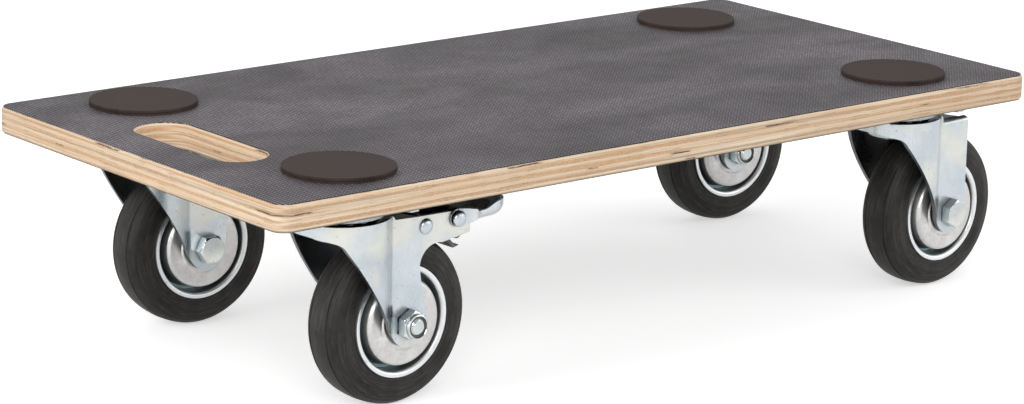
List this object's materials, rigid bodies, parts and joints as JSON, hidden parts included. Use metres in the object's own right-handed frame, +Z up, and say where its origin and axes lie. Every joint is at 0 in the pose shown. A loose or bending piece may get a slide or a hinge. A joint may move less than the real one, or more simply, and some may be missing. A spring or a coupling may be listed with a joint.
{
  "type": "platform trolley",
  "caption": "Low flat plywood dolly with a non-slip mesh-faced top, hand hole and round grip pads, carried on swivel castors, some with foot brakes.",
  "frame": {"origin": "on the floor under the middle of the deck", "axes": "+Z up, X along the deck's length with the hand hole at the -X end, Y across its width"},
  "size_m": [0.6235, 0.29, 0.1432],
  "materials": {
    "birch_plywood": "sanded, open edge grain",
    "mesh_film": "dark phenolic film pressed with a fine square mesh",
    "smooth_film": "smooth dark brown phenolic film",
    "pad_rubber": "matte",
    "zinc_steel": "bright zinc plate, satin",
    "rim_steel": "zinc-plated pressed steel, satin",
    "polished_steel": "polished",
    "spring_steel": "bright",
    "dark_steel": "dark, as pressed",
    "cage_plastic": "satin",
    "tyre_rubber": "satin black rubber"
  },
  "bodies": {
    "platform": {"deck_board": "birch_plywood", "anti_slip_top_film": "mesh_film", "underside_film": "smooth_film", "grip_pads": "pad_rubber", "plate_screws": "zinc_steel", "front_left_mounting_plate": "zinc_steel", "front_left_king_pin": "zinc_steel", "front_left_lower_ball_cup": "zinc_steel", "front_right_mounting_plate": "zinc_steel", "front_right_king_pin": "zinc_steel", "front_right_lower_ball_cup": "zinc_steel", "rear_left_mounting_plate": "zinc_steel", "rear_left_king_pin": "zinc_steel", "rear_left_lower_ball_cup": "zinc_steel", "rear_right_mounting_plate": "zinc_steel", "rear_right_king_pin": "zinc_steel", "rear_right_lower_ball_cup": "zinc_steel"},
    "front_left_swivel": {"front_left_fork": "zinc_steel", "front_left_bearing_balls": "polished_steel", "front_left_axle_bolt": "zinc_steel", "front_left_axle_nut": "zinc_steel", "front_left_axle_sleeve": "zinc_steel", "front_left_brake_rivets": "zinc_steel", "front_left_brake_spring": "spring_steel"},
    "front_left_wheel": {"front_left_rim_halves": "rim_steel", "front_left_tyre": "tyre_rubber", "front_left_roller_bearing": "cage_plastic"},
    "front_left_pedal": {"front_left_brake_pedal": "zinc_steel", "front_left_brake_cam": "dark_steel"},
    "front_left_shoe": {"front_left_brake_shoe": "dark_steel"},
    "front_right_swivel": {"front_right_fork": "zinc_steel", "front_right_bearing_balls": "polished_steel", "front_right_axle_bolt": "zinc_steel", "front_right_axle_nut": "zinc_steel", "front_right_axle_sleeve": "zinc_steel"},
    "front_right_wheel": {"front_right_rim_halves": "rim_steel", "front_right_tyre": "tyre_rubber", "front_right_roller_bearing": "cage_plastic"},
    "rear_left_swivel": {"rear_left_fork": "zinc_steel", "rear_left_bearing_balls": "polished_steel", "rear_left_axle_bolt": "zinc_steel", "rear_left_axle_nut": "zinc_steel", "rear_left_axle_sleeve": "zinc_steel"},
    "rear_left_wheel": {"rear_left_rim_halves": "rim_steel", "rear_left_tyre": "tyre_rubber", "rear_left_roller_bearing": "cage_plastic"},
    "rear_right_swivel": {"rear_right_fork": "zinc_steel", "rear_right_bearing_balls": "polished_steel", "rear_right_axle_bolt": "zinc_steel", "rear_right_axle_nut": "zinc_steel", "rear_right_axle_sleeve": "zinc_steel", "rear_right_brake_rivets": "zinc_steel", "rear_right_brake_spring": "spring_steel"},
    "rear_right_wheel": {"rear_right_rim_halves": "rim_steel", "rear_right_tyre": "tyre_rubber", "rear_right_roller_bearing": "cage_plastic"},
    "rear_right_pedal": {"rear_right_brake_pedal": "zinc_steel", "rear_right_brake_cam": "dark_steel"},
    "rear_right_shoe": {"rear_right_brake_shoe": "dark_steel"}
  },
  "joints": [
    {"name": "front_left_swivel_turn", "type": "hinge", "parent": "platform", "child": "front_left_swivel", "pos_m": [-0.217, -0.1, 0.11], "axis": [0, 0, 1], "continuous": true},
    {"name": "front_left_wheel_spin", "type": "hinge", "parent": "front_left_swivel", "child": "front_left_wheel", "pos_m": [-0.18253, -0.09861, 0.05], "axis": [-0.0401, 0.9992, 0], "continuous": true},
    {"name": "front_left_pedal_press", "type": "hinge", "parent": "front_left_swivel", "child": "front_left_pedal", "pos_m": [-0.14806, -0.09723, 0.1062], "axis": [-0.0401, 0.9992, 0], "range_deg": [0, 20]},
    {"name": "front_left_shoe_turn", "type": "hinge", "parent": "front_left_swivel", "child": "front_left_shoe", "pos_m": [-0.17104, -0.09815, 0.105], "axis": [-0.0401, 0.9992, 0], "range_deg": [0, 6.4]},
    {"name": "front_right_swivel_turn", "type": "hinge", "parent": "platform", "child": "front_right_swivel", "pos_m": [-0.217, 0.1, 0.11], "axis": [0, 0, 1], "continuous": true},
    {"name": "front_right_wheel_spin", "type": "hinge", "parent": "front_right_swivel", "child": "front_right_wheel", "pos_m": [-0.18251, 0.09916, 0.05], "axis": [0.0244, 0.9997, 0], "continuous": true},
    {"name": "rear_left_swivel_turn", "type": "hinge", "parent": "platform", "child": "rear_left_swivel", "pos_m": [0.217, -0.1, 0.11], "axis": [0, 0, 1], "continuous": true},
    {"name": "rear_left_wheel_spin", "type": "hinge", "parent": "rear_left_swivel", "child": "rear_left_wheel", "pos_m": [0.25145, -0.09813, 0.05], "axis": [-0.0541, 0.9985, 0], "continuous": true},
    {"name": "rear_right_swivel_turn", "type": "hinge", "parent": "platform", "child": "rear_right_swivel", "pos_m": [0.217, 0.1, 0.11], "axis": [0, 0, 1], "continuous": true},
    {"name": "rear_right_wheel_spin", "type": "hinge", "parent": "rear_right_swivel", "child": "rear_right_wheel", "pos_m": [0.25149, 0.09904, 0.05], "axis": [0.0279, 0.9996, 0], "continuous": true},
    {"name": "rear_right_pedal_press", "type": "hinge", "parent": "rear_right_swivel", "child": "rear_right_pedal", "pos_m": [0.28597, 0.09807, 0.1062], "axis": [0.0279, 0.9996, 0], "range_deg": [0, 20]},
    {"name": "rear_right_shoe_turn", "type": "hinge", "parent": "rear_right_swivel", "child": "rear_right_shoe", "pos_m": [0.26298, 0.09872, 0.105], "axis": [0.0279, 0.9996, 0], "range_deg": [0, 6.4]}
  ],
  "couplings": [
    {"joint": "front_left_shoe_turn", "follows": "front_left_pedal_press", "ratio": 0.3},
    {"joint": "rear_right_shoe_turn", "follows": "rear_right_pedal_press", "ratio": 0.3}
  ]
}
